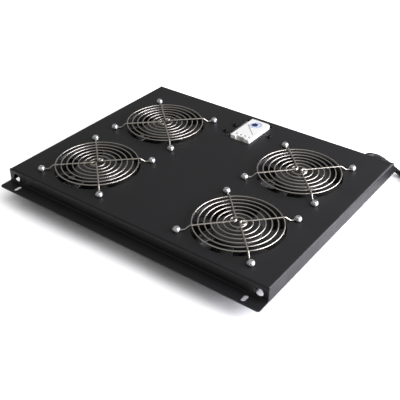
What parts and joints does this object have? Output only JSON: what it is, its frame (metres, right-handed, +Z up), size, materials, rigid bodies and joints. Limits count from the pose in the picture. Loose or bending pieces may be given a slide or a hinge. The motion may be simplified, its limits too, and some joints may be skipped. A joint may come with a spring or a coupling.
{
  "type": "rack fan tray",
  "caption": "Folded steel tray with axial fans blowing up through wire finger guards, a dial thermostat between the rear fans and a mains cord; it bolts into a rack by its slotted flanges.",
  "frame": {"origin": "on the surface the tray stands on, under the middle of the deck", "axes": "+X along the slotted flanges, with the cord and its gland near the +X end; +Y towards the web the cord leaves through; +Z up, the way the air blows"},
  "size_m": [0.513, 0.4416, 0.0478],
  "materials": {
    "powder_coated_steel": "fine satin black powder coat",
    "cast_frame": "die-cast, black enamel",
    "rotor_plastic": "glass-filled black plastic",
    "steel": "ground",
    "bearing_steel": "polished races and shields",
    "windings": "laminations and enamelled copper",
    "plated_wire": "bright nickel-plated wire",
    "plated_screw": "bright nickel-plated",
    "zinc": "bright zinc-plated",
    "cream_plastic": "moulded, slightly satin",
    "dial_plastic": "moulded",
    "knob_plastic": "moulded",
    "black_screw": "black passivated",
    "yellow_green_lead": "smooth insulation",
    "tinned_copper": "tin-plated",
    "block_plastic": "natural polyamide",
    "clamp_screw": "plated",
    "black_lead": "smooth insulation",
    "mains_cord": "matt black sheath",
    "black_plastic": "moulded",
    "plug_plastic": "moulded, fine grain",
    "plug_pin": "nickel-plated"
  },
  "bodies": {
    "tray": {"block_fixing_screws": "zinc", "bracket_nuts": "zinc", "bracket_screws": "black_screw", "cable_saddles": "black_plastic", "cord_coil": "mains_cord", "cord_gland": "black_plastic", "cord_inside": "mains_cord", "cord_outside": "mains_cord", "cord_tail": "mains_cord", "earth_lug": "tinned_copper", "earth_nut": "zinc", "earth_screw": "black_screw", "earth_wire": "yellow_green_lead", "fan_bearings": "bearing_steel", "fan_connectors": "black_plastic", "fan_guard_front_left": "plated_wire", "fan_guard_front_right": "plated_wire", "fan_guard_rear_left": "plated_wire", "fan_guard_rear_right": "plated_wire", "fan_housing_front_left": "cast_frame", "fan_housing_front_right": "cast_frame", "fan_housing_rear_left": "cast_frame", "fan_housing_rear_right": "cast_frame", "fan_lead_front_left": "black_lead", "fan_lead_front_right": "black_lead", "fan_lead_rear_left": "black_lead", "fan_lead_rear_right": "black_lead", "fan_stator_front_left": "windings", "fan_stator_front_right": "windings", "fan_stator_rear_left": "windings", "fan_stator_rear_right": "windings", "gland_nut": "black_plastic", "guard_nuts": "zinc", "guard_screws": "plated_screw", "guard_washers": "plated_screw", "mains_cores": "black_lead", "mounting_rail": "zinc", "plug_body": "plug_plastic", "plug_pins": "plug_pin", "rail_bracket": "zinc", "terminal_block": "block_plastic", "terminal_screws": "clamp_screw", "thermostat_base": "cream_plastic", "thermostat_cover": "cream_plastic", "thermostat_leads": "black_lead", "thermostat_screws": "zinc", "tray": "powder_coated_steel"},
    "fan_rotor_front_left": {"fan_impeller_front_left": "rotor_plastic", "fan_shaft_front_left": "steel"},
    "fan_rotor_front_right": {"fan_impeller_front_right": "rotor_plastic", "fan_shaft_front_right": "steel"},
    "fan_rotor_rear_left": {"fan_impeller_rear_left": "rotor_plastic", "fan_shaft_rear_left": "steel"},
    "fan_rotor_rear_right": {"fan_impeller_rear_right": "rotor_plastic", "fan_shaft_rear_right": "steel"},
    "dial": {"thermostat_dial": "dial_plastic", "dial_knob": "knob_plastic"}
  },
  "joints": [
    {"name": "fan_spin_front_left", "type": "hinge", "parent": "tray", "child": "fan_rotor_front_left", "pos_m": [-0.1144, -0.0872, 0.02], "axis": [0, 0, 1], "continuous": true},
    {"name": "fan_spin_front_right", "type": "hinge", "parent": "tray", "child": "fan_rotor_front_right", "pos_m": [0.1144, -0.0872, 0.02], "axis": [0, 0, 1], "continuous": true},
    {"name": "fan_spin_rear_left", "type": "hinge", "parent": "tray", "child": "fan_rotor_rear_left", "pos_m": [-0.1144, 0.059, 0.02], "axis": [0, 0, 1], "continuous": true},
    {"name": "fan_spin_rear_right", "type": "hinge", "parent": "tray", "child": "fan_rotor_rear_right", "pos_m": [0.1144, 0.059, 0.02], "axis": [0, 0, 1], "continuous": true},
    {"name": "dial_turn", "type": "hinge", "parent": "tray", "child": "dial", "pos_m": [-0.002, 0.132, 0.044], "axis": [0, 0, 1], "range_deg": [-150, 120]}
  ]
}
